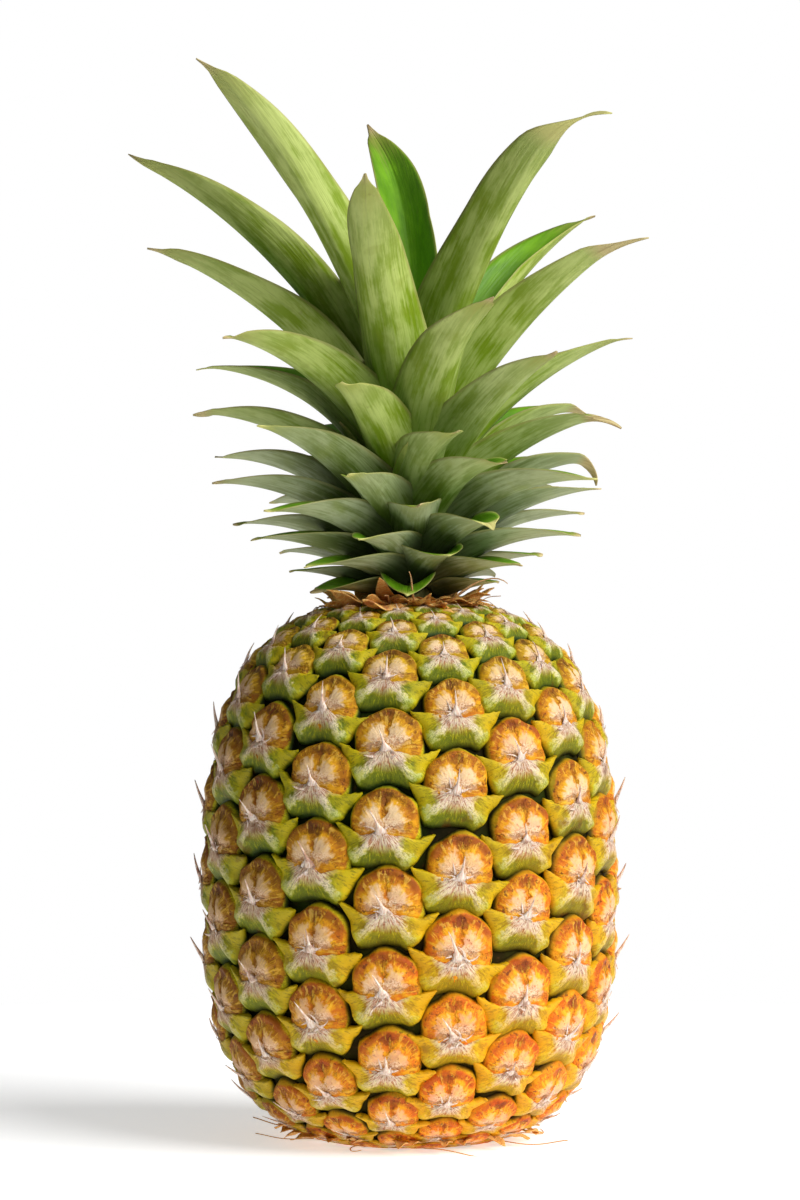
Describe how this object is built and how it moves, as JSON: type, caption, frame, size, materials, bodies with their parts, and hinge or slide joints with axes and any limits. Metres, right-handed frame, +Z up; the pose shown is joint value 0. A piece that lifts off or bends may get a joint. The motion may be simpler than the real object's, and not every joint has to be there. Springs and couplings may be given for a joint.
{
  "type": "pineapple",
  "caption": "whole fresh pineapple standing on its flat base, a barrel-shaped fruit with raised eyes under a crown of long pointed arching leaves",
  "frame": {"origin": "the middle of the flat spot that the fruit stands on", "axes": "+Z up along the fruit's axis, -Y the front that faces the viewer, +X to the viewer's right"},
  "size_m": [0.1594, 0.153, 0.3288],
  "materials": {
    "rind": "waxy rind of domed eyes, ochre and yellow-green with dark green grooves",
    "stem": "pale green, matte",
    "leaf": "satin green with a grey bloom on the outer face",
    "dry": "dry and papery, matte"
  },
  "bodies": {
    "root": {"fruit": "rind", "crown_stem": "stem", "dry_collar": "dry", "leaf_01": "leaf", "leaf_02": "leaf", "leaf_03": "leaf", "leaf_04": "leaf", "leaf_05": "leaf", "leaf_06": "leaf", "leaf_07": "leaf", "leaf_08": "leaf", "leaf_09": "leaf", "leaf_10": "leaf", "leaf_11": "leaf", "leaf_12": "leaf", "leaf_13": "leaf", "leaf_14": "leaf", "leaf_15": "leaf", "leaf_16": "leaf", "leaf_17": "leaf", "leaf_18": "leaf", "leaf_19": "leaf", "leaf_20": "leaf", "leaf_21": "leaf", "leaf_22": "leaf", "leaf_23": "leaf", "leaf_24": "leaf", "leaf_25": "leaf", "leaf_26": "leaf", "leaf_27": "leaf", "leaf_28": "leaf", "leaf_29": "leaf", "leaf_30": "leaf", "leaf_31": "leaf", "leaf_32": "leaf", "leaf_33": "leaf", "leaf_34": "leaf", "leaf_35": "leaf", "leaf_36": "leaf", "leaf_37": "leaf", "leaf_38": "leaf", "leaf_39": "leaf", "leaf_40": "leaf", "leaf_41": "leaf", "leaf_42": "leaf", "leaf_43": "leaf", "leaf_44": "leaf", "leaf_45": "leaf", "leaf_46": "leaf", "leaf_47": "leaf", "leaf_48": "leaf", "leaf_49": "leaf", "leaf_50": "leaf", "leaf_51": "leaf", "leaf_52": "leaf", "leaf_53": "leaf", "leaf_54": "leaf", "leaf_55": "leaf"}
  },
  "joints": []
}
